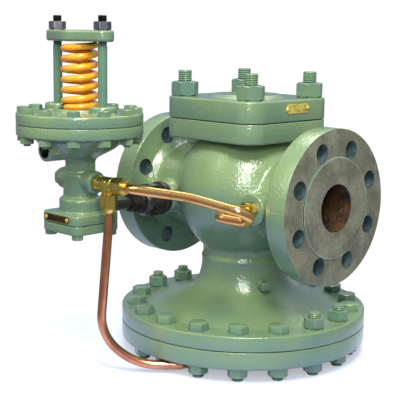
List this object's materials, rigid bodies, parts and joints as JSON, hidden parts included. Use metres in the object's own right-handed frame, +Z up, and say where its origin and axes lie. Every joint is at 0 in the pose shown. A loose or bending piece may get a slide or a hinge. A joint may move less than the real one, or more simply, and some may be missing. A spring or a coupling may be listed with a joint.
{
  "type": "pressure reducing valve",
  "caption": "Pilot-operated, diaphragm-actuated pressure reducing valve with flanged ends, a spring-loaded pilot on its side and copper sensing lines.",
  "frame": {"origin": "centre of the inlet flange's raised face", "axes": "+X is the flow direction, from the inlet face to the outlet face; +Z is up, along the valve stem; the pilot hangs on the -Y side"},
  "size_m": [0.2769, 0.3779, 0.3685],
  "materials": {
    "cast_green": "glossy sage green enamel over a rough casting",
    "fastener_green": "glossy sage green enamel over plain steel fasteners",
    "stud_green": "green enamel on the shank, bare dark threads above the yoke",
    "plate_brass": "blank stamped brass, lightly tarnished",
    "stainless": "turned and ground",
    "bronze": "machined bronze",
    "gasket_sheet": "compressed fibre sheet",
    "plated_steel": "zinc plated, slightly dulled",
    "spring_orange": "glossy orange paint",
    "black_iron": "oiled black malleable iron",
    "fitting_brass": "machined brass with flux stains",
    "copper": "drawn copper, lightly oxidised"
  },
  "bodies": {
    "valve": {"valve_body": "cast_green", "top_cover": "cast_green", "cover_gasket": "gasket_sheet", "cover_studs": "fastener_green", "cover_nuts": "fastener_green", "cover_nameplate": "plate_brass", "cover_nameplate_pins": "plate_brass", "seat_ring": "stainless", "stem_guide": "bronze", "main_spring": "stainless", "main_diaphragm": "stainless", "lower_cover": "cast_green", "flange_bolts": "fastener_green", "flange_studs": "fastener_green", "flange_nuts": "fastener_green", "body_plug": "fastener_green", "pilot_body": "cast_green", "pilot_upper_flange": "cast_green", "pilot_diaphragm": "stainless", "pilot_flange_bolts": "fastener_green", "pilot_flange_nuts": "fastener_green", "adjusting_studs": "stud_green", "range_spring": "spring_orange", "pilot_stem_guide": "bronze", "pilot_seat": "stainless", "pilot_return_spring": "stainless", "pilot_strainer": "stainless", "pilot_bottom_cap": "cast_green", "pilot_cap_gasket": "gasket_sheet", "pilot_cap_screws": "fastener_green", "pilot_nameplate": "plate_brass", "pilot_nameplate_pins": "plate_brass", "pilot_side_plug": "fastener_green", "pilot_nipple": "black_iron", "union_pilot_half": "black_iron", "union_nut": "black_iron", "union_body_half": "black_iron", "body_nipple": "black_iron", "tee_fitting": "fitting_brass", "tee_nuts": "fitting_brass", "bleed_tube": "copper", "bleed_fitting": "fitting_brass", "bleed_nut": "fitting_brass", "loading_tube": "copper", "loading_fitting": "fitting_brass", "loading_nut": "fitting_brass"},
    "main_trim": {"main_disc": "stainless", "main_stem": "stainless", "stem_nut": "stainless", "pressure_plate": "stainless"},
    "pilot_trim": {"pilot_spring_button": "stainless", "pilot_stem": "stainless", "pilot_disc": "stainless"},
    "yoke": {"yoke_plate": "cast_green"},
    "left_nut": {"adjusting_nut_left": "plated_steel"},
    "right_nut": {"adjusting_nut_right": "plated_steel"}
  },
  "joints": [
    {"name": "main_valve_lift", "type": "slide", "parent": "valve", "child": "main_trim", "axis": [0, 0, 1], "range_m": [0, 0.007], "deforming": ["main_spring", "main_diaphragm"]},
    {"name": "pilot_valve_stroke", "type": "slide", "parent": "valve", "child": "pilot_trim", "axis": [0, 0, 1], "range_m": [0, 0.0015], "deforming": ["range_spring", "pilot_diaphragm", "pilot_return_spring"]},
    {"name": "yoke_travel", "type": "slide", "parent": "valve", "child": "yoke", "axis": [0, 0, -1], "range_m": [0, 0.0127], "deforming": ["range_spring"]},
    {"name": "left_nut_turn", "type": "hinge", "parent": "yoke", "child": "left_nut", "pos_m": [0.0165, -0.175, 0.1784], "axis": [0, 0, -1], "range_deg": [0, 2880.05]},
    {"name": "right_nut_turn", "type": "hinge", "parent": "yoke", "child": "right_nut", "pos_m": [0.0895, -0.175, 0.1784], "axis": [0, 0, -1], "range_deg": [0, 2880.05]}
  ],
  "couplings": [
    {"joint": "left_nut_turn", "follows": "yoke_travel", "rad_per_m": 3957.9},
    {"joint": "right_nut_turn", "follows": "yoke_travel", "rad_per_m": 3957.9}
  ]
}
